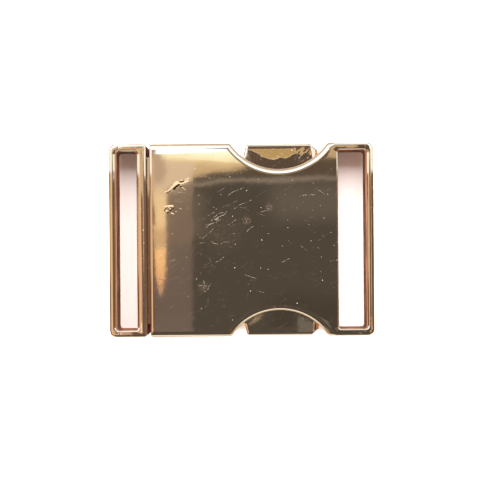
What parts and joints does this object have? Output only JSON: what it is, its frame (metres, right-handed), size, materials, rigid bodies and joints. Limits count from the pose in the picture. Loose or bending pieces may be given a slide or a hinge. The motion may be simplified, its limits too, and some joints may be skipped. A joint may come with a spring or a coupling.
{
  "type": "side release buckle",
  "caption": "Fastened metal side release buckle for wide webbing, with slotted ends, a flat plated cover and a squeeze button in a scallop on each side.",
  "frame": {"origin": "middle of the buckle's back face, on the surface that it lies on", "axes": "+X from the tongue's strap frame to the housing's strap bar, +Y across the webbing towards the left lever, +Z out of the front plate"},
  "size_m": [0.0582, 0.0424, 0.009],
  "materials": {
    "rose_gold_cast": "rose gold plated and polished zinc die casting",
    "rose_gold_lever": "rose gold plated zinc lever, slightly wavy as cast",
    "pin_steel": "drawn steel pin",
    "spring_steel": "spring wire"
  },
  "bodies": {
    "root": {"female_housing": "rose_gold_cast", "male_frame": "rose_gold_cast", "left_pivot_pin": "pin_steel", "right_pivot_pin": "pin_steel", "left_spring": "spring_steel", "right_spring": "spring_steel"},
    "left_lever": {"left_release_lever": "rose_gold_lever"},
    "right_lever": {"right_release_lever": "rose_gold_lever"}
  },
  "joints": [
    {"name": "left_lever_hinge", "type": "hinge", "parent": "root", "child": "left_lever", "pos_m": [-0.0166, 0.0157, 0.0044], "axis": [0, 0, -1], "range_deg": [0, 6.5], "stiffness_Nm_per_rad": 0.8, "deforming": ["left_spring"]},
    {"name": "right_lever_hinge", "type": "hinge", "parent": "root", "child": "right_lever", "pos_m": [-0.0166, -0.0157, 0.0044], "axis": [0, 0, 1], "range_deg": [0, 6.5], "stiffness_Nm_per_rad": 0.8, "deforming": ["right_spring"]}
  ]
}
